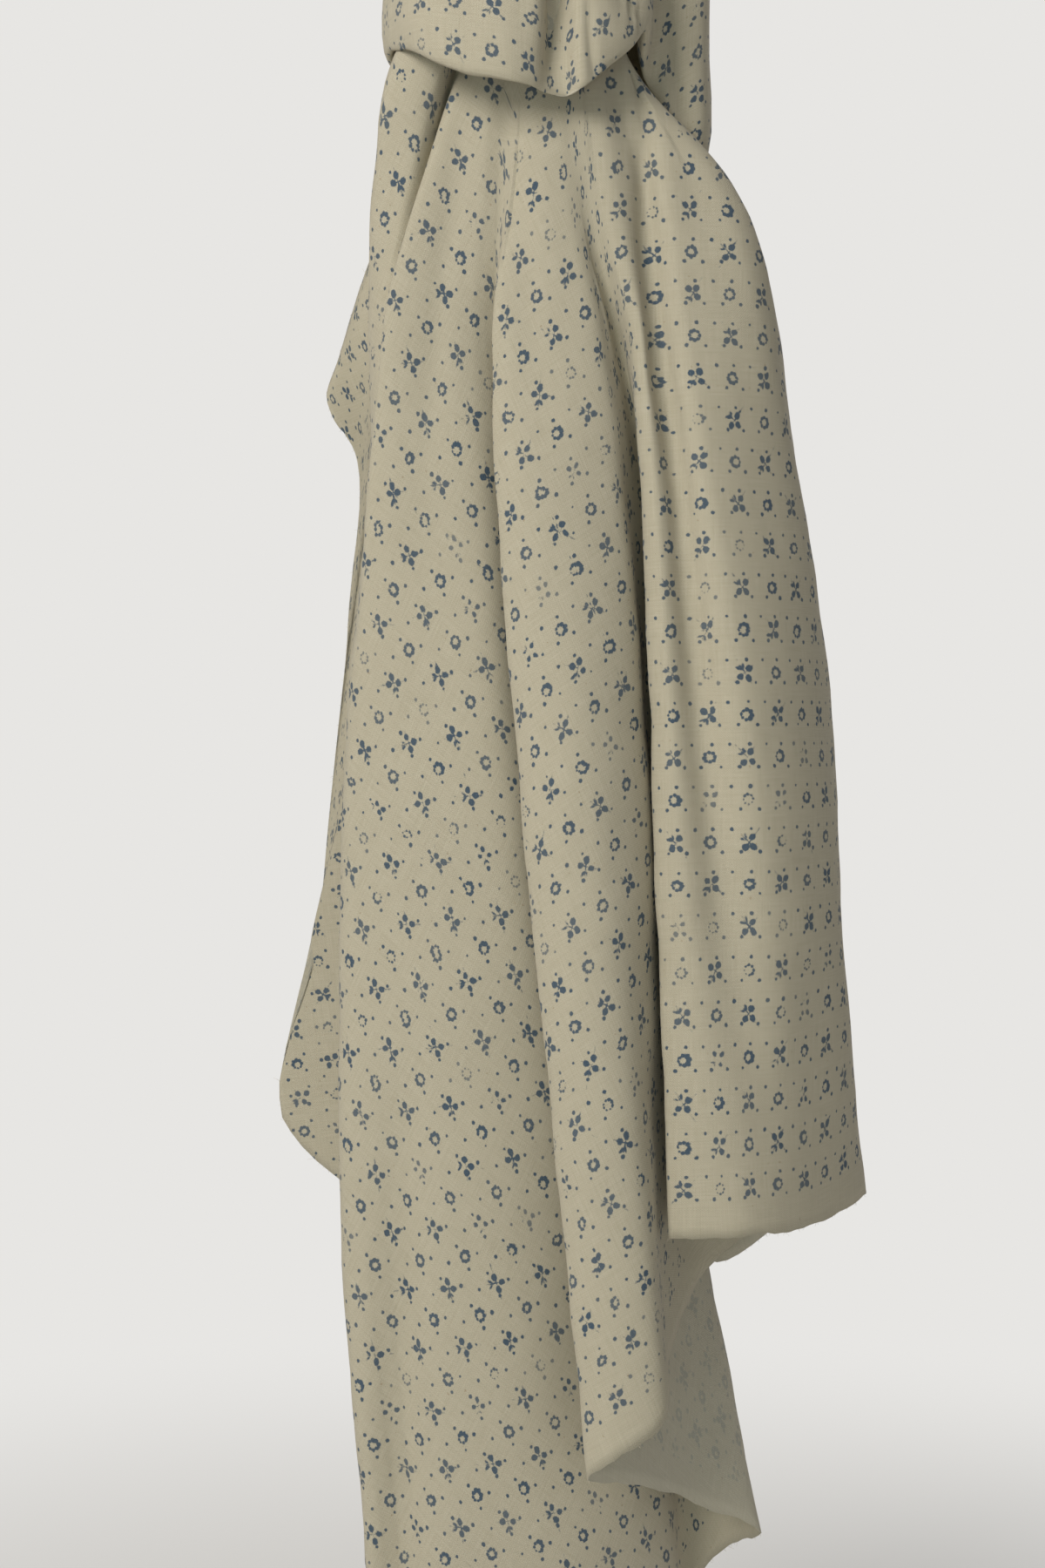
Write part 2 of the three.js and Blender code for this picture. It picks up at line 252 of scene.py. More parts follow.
def foldedFlat(rows, lengths, table):
    # Flat places that keep to the folds. At each distance from the pinch point, the angle follows the true
    # distance between the lines that run down the cloth.
    columns = np.arange(rows.shape[1])
    down = np.gradient(rows, axis=0)
    down /= np.linalg.norm(down, axis=2, keepdims=True)
    down = (down[:, 1:] + down[:, :-1]) / 2
    across = np.diff(rows, axis=1)
    across -= down * np.sum(across * down, axis=2, keepdims=True)
    across = np.linalg.norm(across, axis=2)
    between = (lengths[:, 1:] + lengths[:, :-1]) / 2
    rings = np.linspace(gather["neckLength"], lengths.max(), printFit["rings"])
    steps = np.stack([np.interp(rings, between[::-1, c], across[::-1, c]) for c in columns[:-1]], axis=1)
    turns = np.degrees(steps / np.maximum(rings, printFit["leastRadius"])[:, None])
    run = np.concatenate([np.zeros((len(rings), 1)), -np.cumsum(turns, axis=1)], axis=1)
    for ring in run:
        ends, offsets = [], []
        for first, middle, last, *_ in faces:
            ends += [columnOf(first), columnOf(last)]
            offsets += [table[columnOf(middle)] - ring[columnOf(middle)]] * 2
        ring += np.interp(columns, ends, offsets)
    angles = np.radians(np.stack([np.interp(lengths[:, c], rings, run[:, c]) for c in columns], axis=1))
    return np.stack([lengths * np.sin(angles), -lengths * np.cos(angles)], axis=2)


def evenFlat(rows, middle, across, down):
    # Flat places of a face measured level and upright from its middle fold.
    level = np.hypot(np.diff(rows[:, :, 0], axis=1), np.diff(rows[:, :, 1], axis=1))
    run = np.concatenate([np.zeros((len(rows), 1)), -np.cumsum(level, axis=1)], axis=1)
    places = np.stack([run - run[:, [middle]] + rows[:, [middle], 0], rows[:, :, 2]], axis=2)
    across, down = math.radians(across), math.radians(down)
    basis = np.array([[math.cos(across), -math.cos(down)], [math.sin(across), -math.sin(down)]])
    return places @ np.linalg.inv(basis).T


def tableFlat(rows, shares):
    # The fold table's angle for every column, and the length along the cloth for every place.
    columns = np.arange(rows.shape[1])
    table = np.interp(columns, columns[::cloth["stepsPerFold"]], [fold[1] for fold in folds])
    return table, np.array([[lengthAt(angle, share) for angle in table] for share in shares])


def hangingFlat(rows, shares):
    # Flat places of every row of the hanging cloth: face by face, and by the fold table's angles at the hem.
    columns = np.arange(rows.shape[1])
    table, lengths = tableFlat(rows, shares)
    folded = foldedFlat(rows, lengths, table)
    even = np.zeros(folded.shape)
    for number, (_, middle, _, across, down, lift) in enumerate(faces):
        middle = columnOf(middle)
        place = evenFlat(rows, middle, across, down)
        matched = np.argmin(abs(lengths[:, middle] - printFit["matchedAt"]))
        place += folded[matched, middle] - place[matched, middle] + np.array([0, lift])
        ends = [columnOf(name) for face in faces for name in (face[0], face[2])]
        share = np.interp(columns, ends, [float(k == number) for k in range(len(faces)) for _ in range(2)])
        even += place * share[:, None]
    toEven = np.vectorize(ramp)(lengths, printFit["evenFrom"], printFit["evenTo"])[:, :, None]
    flat = folded + (even - folded) * toEven
    toEdge = np.array([ramp(share, printFit["edgeFrom"], printFit["edgeTo"]) for share in shares])[:, None]
    low, high = printFit["hemFrom"], printFit["hemTo"]
    atHem = np.array([ramp(angle, *low) * (1 - ramp(angle, high[1], high[0])) for angle in table])
    straight = np.radians(table)
    hem = np.stack([lengths * np.sin(straight), -lengths * np.cos(straight)], axis=2)
    return flat + (hem - flat) * (toEdge * atHem)[:, :, None]


def bandRow(inset, scale, lowShare, rise):
    outline = np.array([fold[3][:2] for fold in folds], float)
    places = []
    for i, fold in enumerate(folds):
        along = outline[min(i + 1, len(folds) - 1)] - outline[max(i - 1, 0)]
        along /= np.linalg.norm(along)
        x = outline[i][0] + along[1] * inset
        y = outline[i][1] - along[0] * inset
        places.append((gather["x"] + (x - gather["x"]) * scale, gather["y"] + (y - gather["y"]) * scale,
                       fold[3][2] * lowShare + rise))
    return centripetal(places, cloth["stepsPerFold"])


def bandFlat(band):
    # On the band the print runs round it and down its face from the gather, true to size.
    face = band[bandFaceRow * bandStepsPerRow - 1]
    roundIt = np.concatenate([[0], np.cumsum(np.linalg.norm(np.diff(face, axis=0), axis=1))])
    climb = np.linalg.norm(np.diff(band, axis=0, append=band[-1:]), axis=2)
    below = np.cumsum(climb[::-1], axis=0)[::-1]
    return np.stack([np.broadcast_to(-roundIt, climb.shape), -below], axis=2)


def drape():
    # The whole sheet as rows of places, from the cloth's edge to the gather, with its flat places and how
    # far each place is from the hem. The band counts as far from it.
    shares = [k / cloth["hangingRows"] for k in range(cloth["hangingRows"], -1, -1)]
    hanging = np.array([hangingRow(share) for share in shares])
    rows = [hanging[-1]] + [bandRow(*row) for row in bandRows]
    columns = [centripetal([row[i] for row in rows], bandStepsPerRow) for i in range(hanging.shape[1])]
    band = np.array(columns).transpose(1, 0, 2)[1:]
    rows = crumple(np.concatenate([hanging, band]), len(hanging))
    table, lengths = tableFlat(hanging, shares)
    fromHem = np.full(rows.shape[:2], float(cloth["down"]))
    fromHem[:len(hanging)] -= lengths * np.cos(np.radians(table))
    hangingUv, bandUv = hangingFlat(hanging, shares), bandFlat(rows[len(hanging):])
    return raggedEdges(rows, len(hanging)), hangingUv, bandUv, fromHem


# Creases pressed into the cloth: a part of it, the first and last fold across which the crease may lie, and
# its path as seen from the front, each point with x, z, depth and width in millimetres. A depth below zero
# is a trough.
creases = [
    ("hanging", "rightTurn", "gapLip",
     ((32, -80, -2.6, 3.2), (34, -145, -3.6, 3.6), (40, -191, -3.6, 4.0), (47, -237, -3.4, 4.4),
      (56, -330, -3.0, 6.0), (64, -402, -2.4, 8.0), (74, -455, -1.4, 10.0), (84, -500, 0, 11.0))),
    ("hanging", "rightTurn", "gapLip",
     ((42, -100, 0.6, 5.0), (45, -168, 1.3, 5.5), (52, -214, 1.3, 5.5), (64, -310, 1.0, 7.0),
      (72, -390, 0, 8.0))),
    ("hanging", "midRight", "midLeft",
     ((-18, -95, -0.6, 5.0), (-15, -134, -1.8, 6.5), (-12, -170, -1.6, 7.0), (-6, -235, 0, 8.0))),
    ("hanging", "rightFace", "midFront",
     ((4, -90, 0, 5.0), (10, -120, -1.4, 6.0), (19, -165, -1.6, 6.0), (25, -215, 0, 6.0))),
    ("hanging", "mainCorner", "columnRight",
     ((-38, -95, -0.6, 4.0), (-42, -140, -1.2, 5.0), (-49, -200, -1.2, 6.0), (-54, -270, 0, 7.0))),
    ("hanging", "mainFace", "leftValley",
     ((-59, -440, 0, 6.0), (-62, -500, -4.0, 6.5), (-63, -600, -8.5, 7.5), (-62, -690, -9.5, 8.5),
      (-59, -760, -9.5, 9.0))),
    ("band", "softTrough", "midFront",
     ((1, -40, -7.0, 3.0), (-1, -60, -6.0, 2.8), (-2.5, -84, -2.0, 2.4))),
    ("band", "softTrough", "midFront",
     ((-9, -40, 2.5, 4.0), (-9, -70, 1.6, 4.0), (-9, -84, 0, 4.0))),
    ("band", "softTrough", "pleatFront",
     ((9, -58, 0, 1.8), (11, -68, -2.2, 1.8), (13.5, -86, -1.6, 1.8))),
    ("band", "rightFace", "gapRidge",
     ((33, -66, -2.0, 2.0), (27, -57, -4.0, 2.8), (19, -45, -5.0, 3.4))),
    ("band", "backTurn", "rightTurn",
     ((40, -46, -1.0, 2.0), (44, -62, -3.0, 2.6), (48, -82, -3.0, 2.6), (51, -104, -1.0, 2.4))),
]
# How soon a crease fades where the cloth turns away from the front: the more, the later.
creaseFacing = 1.6
# Slight unevenness all over. Each row is the size of the waves, how far they stand out, and a seed.
unevenness = [(34, 1.0, 3.1), (11, 0.28, 8.7)]
# The cut edges are not quite straight either.
cutWaves = [(14, 1.3, 2.3), (4, 1.1, 5.9)]


def pressed(x, z, path):
    # How far the crease along this path moves each place: full depth on the path, and less away from it.
    nearest = np.full(x.shape, np.inf)
    depth, width = np.zeros(x.shape), np.ones(x.shape)
    for (ax, az, *first), (bx, bz, *second) in zip(path[:-1], path[1:]):
        along = ((x - ax) * (bx - ax) + (z - az) * (bz - az)) / ((bx - ax) ** 2 + (bz - az) ** 2)
        along = np.clip(along, 0, 1)
        apart = np.hypot(x - ax - (bx - ax) * along, z - az - (bz - az) * along)
        closer = apart < nearest
        nearest = np.where(closer, apart, nearest)
        depth = np.where(closer, first[0] + (second[0] - first[0]) * along, depth)
        width = np.where(closer, first[1] + (second[1] - first[1]) * along, width)
    return depth * np.exp(-(nearest / width) ** 2)


def outwardNormals(rows):
    # Rows run from the edge up to the gather and columns from right to left round the front.
    normals = np.cross(np.gradient(rows, axis=0), np.gradient(rows, axis=1))
    return normals / np.maximum(np.linalg.norm(normals, axis=2, keepdims=True), tiny)


def crumple(rows, hangingCount):
    # Presses the creases and the unevenness into the rows. Those from hangingCount on are the band's.
    normals = outwardNormals(rows)
    x, y, z = np.moveaxis(rows, 2, 0)
    columns = np.arange(rows.shape[1])[None, :]
    isBand = np.arange(rows.shape[0])[:, None] >= hangingCount
    shift = np.zeros(x.shape)
    for part, first, last, path in creases:
        here = (columns >= columnOf(first)) & (columns <= columnOf(last)) & (isBand == (part == "band"))
        facing = np.clip(-normals[:, :, 1] * creaseFacing, 0, 1)
        shift += here * facing * pressed(x, z, path)
    shift += waveHeights(rows.reshape(-1, 3), unevenness).reshape(x.shape)
    return rows + normals * shift[:, :, None]


def waveHeights(places, waves):
    heights = np.zeros(len(places))
    for size, height, seed in waves:
        spots = [Vector((x / size, y / size, z / size + seed)) for x, y, z in places]
        heights += [noise.noise(spot) * height for spot in spots]
    return heights


def raggedEdges(rows, hangingCount):
    # Moves only the outermost places, in and out along the cloth.
    ragged = rows.copy()
    edges = ((ragged[0], rows[1]), (ragged[:hangingCount, 0], rows[:hangingCount, 1]),
             (ragged[:hangingCount, -1], rows[:hangingCount, -2]))
    for edge, inner in edges:
        outward = edge - inner
        outward /= np.maximum(np.linalg.norm(outward, axis=1, keepdims=True), tiny)
        edge += outward * waveHeights(edge, cutWaves)[:, None]
    return ragged


def addSheet():
    rows, hangingUv, bandUv, fromHem = drape()
    rows = rows - np.array([gather["x"], gather["y"], 0])
    rowCount, columnCount = rows.shape[:2]
    bpy.ops.mesh.primitive_grid_add(x_subdivisions=columnCount - 1, y_subdivisions=rowCount - 1, size=1)
    sheet = bpy.context.object
    sheet.name = sheet.data.name = "printedCloth"
    mesh = sheet.data
    flatGrid = np.zeros(len(mesh.vertices) * 3)
    mesh.vertices.foreach_get("co", flatGrid)
    flatGrid = flatGrid.reshape(-1, 3)
    column = np.rint((flatGrid[:, 0] + 0.5) * (columnCount - 1)).astype(int)
    row = np.rint((flatGrid[:, 1] + 0.5) * (rowCount - 1)).astype(int)
    mesh.vertices.foreach_set("co", (rows[row, column] * mm).ravel())
    # Each corner's UV is its place on the flat cloth, in metres. Faces just above the neck use the band's.
    loops = np.zeros(len(mesh.loops), int)
    mesh.loops.foreach_get("vertex_index", loops)
    faceRow = row[loops].reshape(-1, 4).min(axis=1).repeat(4)
    loopRow, loopColumn = row[loops], column[loops]
    hangingCount = len(hangingUv)
    allUv = np.concatenate([hangingUv, bandUv])
    uv = allUv[loopRow, loopColumn]
    joining = (faceRow == hangingCount - 1) & (loopRow == hangingCount - 1)
    uv[joining] = allUv[hangingCount, loopColumn[joining]]
    layer = mesh.uv_layers.active or mesh.uv_layers.new()
    layer.name = "flatPlace"
    layer.data.foreach_set("uv", (uv * mm).ravel())
    hemDistance = mesh.attributes.new("fromHem", "FLOAT", "POINT")
    hemDistance.data.foreach_set("value", fromHem[row, column] * mm)
    mesh.flip_normals()
    return sheet, rows, hangingCount


# Short ends of thread that stand out from the cut edges. Lengths are in millimetres.
fray = {
    "seed": 11,
    "everyMm": 1.7,
    "cornerGap": 3,  # none so near either end of the edge
    "shortest": 0.4,
    "longest": 1.9,
    "mostlyShort": 2.2,  # the more, the fewer of them are near the longest
    "longOnes": 0.012,  # share of the threads that are pulled far out, how far, and the least share of that
    "longReach": 5.0,
    "longLeast": 0.5,
    "radius": 0.085,
    "taper": 0.5,
    "inside": 0.7,  # how far inside the edge a thread starts
    "sideways": 0.75,  # how it leans along the edge and out of the face
    "outOfFace": 0.45,
    "bendSideways": 0.8,  # how it then bends, and hangs
    "bendOutOfFace": 0.6,
    "droop": 0.35,
    "bend": 0.6,
}
threadGrid = 4  # places round a thread, and along it


def cutEdge(rows, hangingCount):
    # Places along the cut edge, from the right-hand top corner round to the left-hand one, and inside it.
    hanging = rows[:hangingCount]
    edge = np.concatenate([hanging[::-1, 0], hanging[0, 1:-1], hanging[:, -1]])
    inner = np.concatenate([hanging[::-1, 1], hanging[1, 1:-1], hanging[:, -2]])
    return edge, inner


def addThreads(rows, hangingCount):
    edge, inner = cutEdge(rows, hangingCount)
    along = np.gradient(edge, axis=0)
    along /= np.linalg.norm(along, axis=1, keepdims=True)
    outward = edge - inner
    outward -= along * np.sum(outward * along, axis=1, keepdims=True)
    outward /= np.maximum(np.linalg.norm(outward, axis=1, keepdims=True), tiny)
    aside = np.cross(along, outward)
    run = np.concatenate([[0], np.cumsum(np.linalg.norm(np.diff(edge, axis=0), axis=1))])
    chance = np.random.default_rng(fray["seed"])
    bpy.ops.mesh.primitive_grid_add(x_subdivisions=threadGrid - 1, y_subdivisions=threadGrid - 1, size=1)
    first = bpy.context.object
    first.name = first.data.name = "looseThreads"
    flat = np.zeros(len(first.data.vertices) * 3)
    first.data.vertices.foreach_get("co", flat)
    flat = flat.reshape(-1, 3) + 0.5
    turn = flat[:, 0:1] * 2 * math.pi  # round a thread
    way = flat[:, 1:2]  # along it, from 0 to 1
    threads = [first]
    for at in np.arange(fray["cornerGap"], run[-1] - fray["cornerGap"], fray["everyMm"]):
        at += chance.uniform(-1, 1) * fray["everyMm"]
        base, reach, side, face = (np.array([np.interp(at, run, part[:, axis]) for axis in range(3)])
                                   for part in (edge, outward, along, aside))
        size = chance.random() ** fray["mostlyShort"]
        length = fray["shortest"] + (fray["longest"] - fray["shortest"]) * size
        if chance.random() < fray["longOnes"]:
            length = fray["longReach"] * chance.uniform(fray["longLeast"], 1)
        lean, stand, bendAside, bendOut = (chance.uniform(-1, 1) for _ in range(4))
        leave = reach + side * lean * fray["sideways"] + face * stand * fray["outOfFace"]
        bend = side * bendAside * fray["bendSideways"] + face * bendOut * fray["bendOutOfFace"]
        bend[2] -= fray["droop"]
        middle = base - reach * fray["inside"] + leave * length * way
        middle = middle + bend * length * way ** 2 * fray["bend"]
        thick = fray["radius"] * (1 - fray["taper"] * way)
        places = middle + (side * np.cos(turn) + face * np.sin(turn)) * thick
        copy = first.copy()
        copy.data = first.data.copy()
        copy.data.vertices.foreach_set("co", (places * mm).ravel())
        bpy.context.collection.objects.link(copy)
        threads.append(copy)
    bpy.data.objects.remove(threads.pop(0))
    bpy.ops.object.select_all(action="DESELECT")
    for thread in threads:
        thread.select_set(True)
    bpy.context.view_layer.objects.active = threads[0]
    bpy.ops.object.join()
    joined = bpy.context.object
    joined.name = joined.data.name = "looseThreads"
    return joined


# Helpers for shader nodes. Most add one node and give back its output.
def newTree(name, inputs, outputs):
    tree = bpy.data.node_groups.new(name, "ShaderNodeTree")
    for direction, sockets in (("INPUT", inputs), ("OUTPUT", outputs)):
        for title, kind, value in sockets:
            kind = "NodeSocket" + kind
            socket = tree.interface.new_socket(name=title, in_out=direction, socket_type=kind)
            if value is not None:
                socket.default_value = value
    return tree, tree.nodes.new("NodeGroupInput"), tree.nodes.new("NodeGroupOutput")


def plug(tree, socket, value):
    if isinstance(value, bpy.types.NodeSocket):
        tree.links.new(value, socket)
    else:
        socket.default_value = value


def calc(tree, operation, *values, clamp=False):
    node = tree.nodes.new("ShaderNodeMath")
    node.operation = operation
    node.use_clamp = clamp
    for socket, value in zip(node.inputs, values):
        plug(tree, socket, value)
    return node.outputs[0]


def times(tree, a, b, clamp=False):
    return calc(tree, "MULTIPLY", a, b, clamp=clamp)


def plus(tree, a, b, clamp=False):
    return calc(tree, "ADD", a, b, clamp=clamp)


def minus(tree, a, b):
    return calc(tree, "SUBTRACT", a, b)


def vector(tree, operation, *values):
    node = tree.nodes.new("ShaderNodeVectorMath")
    node.operation = operation
    for socket, value in zip([s for s in node.inputs if s.enabled], values):
        plug(tree, socket, value)
    return node.outputs["Vector"]


def inMillimetres(tree, place):
    scaled = vector(tree, "SCALE", place)
    scaled.node.inputs["Scale"].default_value = 1 / mm
    return scaled


def split(tree, value):
    node = tree.nodes.new("ShaderNodeSeparateXYZ")
    plug(tree, node.inputs[0], value)
    return node.outputs[0], node.outputs[1], node.outputs[2]


def combine(tree, x, y, z):
    node = tree.nodes.new("ShaderNodeCombineXYZ")
    for socket, value in zip(node.inputs, (x, y, z)):
        plug(tree, socket, value)
    return node.outputs[0]


def noiseAt(tree, place, scale, detail=2.0, roughness=0.5, out="Fac"):
    node = tree.nodes.new("ShaderNodeTexNoise")
    node.noise_dimensions = "3D"
    plug(tree, node.inputs["Vector"], place)
    plug(tree, node.inputs["Scale"], scale)
    node.inputs["Detail"].default_value = detail
    node.inputs["Roughness"].default_value = roughness
    return node.outputs[out]


def randomAt(tree, place):
    node = tree.nodes.new("ShaderNodeTexWhiteNoise")
    node.noise_dimensions = "3D"
    plug(tree, node.inputs["Vector"], place)
    return split(tree, node.outputs["Color"])


def wander(tree, place, scale, detail, reach):
    # The place moved about by noise, by up to half the reach each way.
    away = noiseAt(tree, place, scale, detail, roughness=0.6, out="Color")
    away = vector(tree, "SUBTRACT", away, (0.5, 0.5, 0.5))
    return vector(tree, "ADD", place, vector(tree, "MULTIPLY", away, (reach, reach, 0)))


def distanceTo(tree, x, y, cx, cy):
    dx = minus(tree, x, cx)
    dy = minus(tree, y, cy)
    return calc(tree, "SQRT", plus(tree, times(tree, dx, dx), times(tree, dy, dy)))


def oval(tree, x, y, centre, size, turn):
    # How far inside an oval the place is, in millimetres: above zero is inside.
    dx = minus(tree, x, centre[0])
    dy = minus(tree, y, centre[1])
    c, s = math.cos(math.radians(turn)), math.sin(math.radians(turn))
    along = plus(tree, times(tree, dx, c / size[0]), times(tree, dy, s / size[0]))
    across = plus(tree, times(tree, dx, -s / size[1]), times(tree, dy, c / size[1]))
    far = distanceTo(tree, along, across, 0.0, 0.0)
    return times(tree, minus(tree, 1.0, far), min(size))


def union(tree, x, y, ovals):
    # Ovals that run softly into one another.
    insides = [oval(tree, x, y, *shape) for shape in ovals]
    result = insides[0]
    for inside in insides[1:]:
        result = calc(tree, "SMOOTH_MAX", result, inside, inking["petalRun"])
    return result


# The block's print, in millimetres on the flat cloth. Flowers and rings take turns on a rectangular lattice.
# An oval is its centre, its half length and half width, and its turn in degrees.
block = {
    "pitch": (14.5, 16.0),
    "offset": (2.0, 5.0),
    "motifsEachWay": (7, 6),  # how many motifs one press of the block prints
    "jointShift": 0.085,  # how far presses are off one another, as a share of the pitch
    "turn": 0.3,
    "petals": [
        ((-1.5, 1.85), (1.3, 1.12), -52),
        ((1.65, 1.95), (1.4, 1.1), 55),
        ((1.45, -1.7), (1.25, 1.12), -45),
    ],
    "sprig": [
        ((-2.35, -1.35), (0.95, 0.45), 12),
        ((-1.05, -2.3), (0.85, 0.42), 80),
        ((-1.5, -1.6), (0.8, 0.3), 45),
    ],
    "links": [((0.15, 0.2), (1.4, 0.10), 52), ((0.1, 0.1), (1.4, 0.10), -48)],
    "ringRadius": 1.85,
    "ringDots": 8,
    "ringDotSize": 0.66,
    "ringLine": 0.26,
    "dotSize": 0.68,
    "dots": [(0.9, 4.9), (-6.4, 4.8), (-2.9, -3.7), (4.3, -3.8)],
    "edgeSoftness": 0.34,
    "plainStrip": 13.5,
}
# How unevenly the block prints. Scales are for noise, in cells to the millimetre.
inking = {
    "ragged": 0.7,
    "raggedScale": 1.1,
    "petalRun": 0.12,  # how softly petals run together, and the dots and the line of a ring
    "ringRun": 0.3,
    "ringLean": 0.24,  # how much heavier one side of a ring may be, and the chance at which neither is
    "ringEven": 0.35,
    "dotUneven": 1.1,
    "dotScale": 0.16,
    "thinMotifs": 0.2,  # share of the motifs that are printed thin, and how much they lose
    "thinLoss": 0.3,
    "patchScale": 0.3,  # patches that print full or not at all
    "patchMiddle": 0.44,
    "patchDepth": 1.6,
    "paleMotifs": 0.11,  # share of the motifs that are pale, and how much they lose
    "paleLoss": 0.2,
    "leastStrength": 0.87,
    "strengthRange": 0.13,
    "grainScale": 2.0,
    "grainLow": 0.6,
    "grainRange": 0.78,
}


def makePrintGroup():
    tree, given, result = newTree(
        "blockPrint",
        [("Flat Place", "Vector", None), ("From Hem", "Float", 1.0), ("Spread", "Float", 0.0)],
        [("Ink", "Float", None)],
    )
    place = inMillimetres(tree, given.outputs["Flat Place"])
    # Ink spreads along the threads, so every outline is a little ragged.
    wandered = wander(tree, place, inking["raggedScale"], 2.5, inking["ragged"])
    pitchX, pitchY = block["pitch"]
    manyX, manyY = block["motifsEachWay"]
    cells = vector(tree, "SUBTRACT", wandered, (*block["offset"], 0))
    cells = vector(tree, "MULTIPLY", cells, (1 / pitchX, 1 / pitchY, 0))
    # Each press of the block lands a little off its neighbours.
    press = vector(tree, "FLOOR", vector(tree, "MULTIPLY", cells, (1 / manyX, 1 / manyY, 0)))
    off = tree.nodes.new("ShaderNodeTexWhiteNoise")
    plug(tree, off.inputs["Vector"], press)
    shift = vector(tree, "SUBTRACT", off.outputs["Color"], (0.5, 0.5, 0.5))
    shift = vector(tree, "MULTIPLY", shift, (block["jointShift"], block["jointShift"], 0))
    cells = vector(tree, "ADD", cells, shift)
    index = vector(tree, "FLOOR", vector(tree, "ADD", cells, (0.5, 0.5, 0)))
    local = vector(tree, "MULTIPLY", vector(tree, "SUBTRACT", cells, index), (pitchX, pitchY, 0))
    column, row, _ = split(tree, index)
    chanceA, chanceB, chanceC = randomAt(tree, index)
    isRing = calc(tree, "FLOORED_MODULO", plus(tree, column, row), 2.0)

    # Small dots, four to each motif.
    dotX, dotY, _ = split(tree, local)
    dots = None
    for cx, cy in block["dots"]:
        dot = minus(tree, block["dotSize"], distanceTo(tree, dotX, dotY, cx, cy))
        dots = dot if dots is None else calc(tree, "MAXIMUM", dots, dot)
    uneven = minus(tree, noiseAt(tree, place, inking["dotScale"], detail=1.0), 0.5)
    dots = plus(tree, dots, times(tree, uneven, inking["dotUneven"]))

    # Each motif is turned a little, and every other row is the other way up.
    turned = tree.nodes.new("ShaderNodeVectorRotate")
    turned.rotation_type = "Z_AXIS"
    plug(tree, turned.inputs["Vector"], local)
    plug(tree, turned.inputs["Angle"], times(tree, minus(tree, chanceB, 0.5), block["turn"]))
    x, y, _ = split(tree, turned.outputs[0])
    flip = minus(tree, 1.0, times(tree, calc(tree, "FLOORED_MODULO", row, 2.0), 2.0))
    y = times(tree, y, flip)

    # The flower: three full petals, a broken sprig for the fourth, and thin links between them.
    petals, sprig, links = (union(tree, x, y, block[part]) for part in ("petals", "sprig", "links"))
    flower = calc(tree, "MAXIMUM", petals, calc(tree, "MAXIMUM", sprig, links))

    # The ring: a few dots run together round a circle, heavier on one side.
    dotTurn = 2 * math.pi / block["ringDots"]
    far = distanceTo(tree, x, y, 0.0, 0.0)
    around = times(tree, calc(tree, "ARCTAN2", y, x), 1 / dotTurn)
    nearest = times(tree, minus(tree, around, calc(tree, "ROUND", around)), dotTurn)
    beadX = times(tree, far, calc(tree, "COSINE", nearest))
    beadY = times(tree, far, calc(tree, "SINE", nearest))
    fromBead = distanceTo(tree, beadX, beadY, block["ringRadius"], 0.0)
    beads = minus(tree, block["ringDotSize"], fromBead)
    fromCircle = calc(tree, "ABSOLUTE", minus(tree, far, block["ringRadius"]))
    line = minus(tree, block["ringLine"], fromCircle)
    heavy = times(tree, minus(tree, chanceA, inking["ringEven"]), times(tree, x, inking["ringLean"]))
    ring = plus(tree, calc(tree, "SMOOTH_MAX", beads, line, inking["ringRun"]), heavy)
    motif = plus(tree, times(tree, ring, isRing), times(tree, flower, minus(tree, 1.0, isRing)))

    # A few motifs are printed thin, and parts of any of them may be missing.
    patches = noiseAt(tree, place, inking["patchScale"], detail=2.5, roughness=0.6)
    patches = times(tree, minus(tree, patches, inking["patchMiddle"]), inking["patchDepth"])
    thin = times(tree, calc(tree, "LESS_THAN", chanceC, inking["thinMotifs"]), -inking["thinLoss"])
    motif = plus(tree, plus(tree, motif, thin), patches)
    inside = plus(tree, calc(tree, "MAXIMUM", motif, dots), given.outputs["Spread"])
    mask = plus(tree, calc(tree, "DIVIDE", inside, block["edgeSoftness"]), 0.5, clamp=True)
    strength = plus(tree, inking["leastStrength"], times(tree, chanceA, inking["strengthRange"]))
    pale = times(tree, calc(tree, "LESS_THAN", chanceC, inking["paleMotifs"]), inking["paleLoss"])
    strength = minus(tree, strength, pale)
    grain = noiseAt(tree, place, inking["grainScale"], detail=3.0, roughness=0.75)
    grain = plus(tree, inking["grainLow"], times(tree, grain, inking["grainRange"]), clamp=True)
    ink = times(tree, times(tree, mask, strength), grain, clamp=True)

    # The strip along the hem is not printed.
    printed = calc(tree, "GREATER_THAN", given.outputs["From Hem"], block["plainStrip"] * mm)
    tree.links.new(times(tree, ink, printed), result.inputs["Ink"])
    return tree


# Plain weave, in millimetres: threads a little under half a millimetre apart, with thick places, or slubs.
weave = {
    "threadPitch": 0.46,
    "wander": 0.5,
    "wanderScale": 0.25,
    "slubLength": 16.0,
    "slubWidth": 0.42,
    "crossingHeight": 0.5,  # how far the crossings and the slubs stand up, and how much painted shade they get where they dip
    "slubHeight": 1.2,
    "crossingShade": 0.09,
    "slubShade": 0.5,
    "fleckScale": 0.55,
    "fleckAbove": 0.775,
}


def slubs(tree, x, y, sizeX, sizeY, seed):
    # Long thin noise: the thick and thin places of the threads that run one way.
    place = combine(tree, calc(tree, "DIVIDE", x, sizeX), calc(tree, "DIVIDE", y, sizeY), seed)
    return noiseAt(tree, place, 1.0, detail=3.0, roughness=0.6)


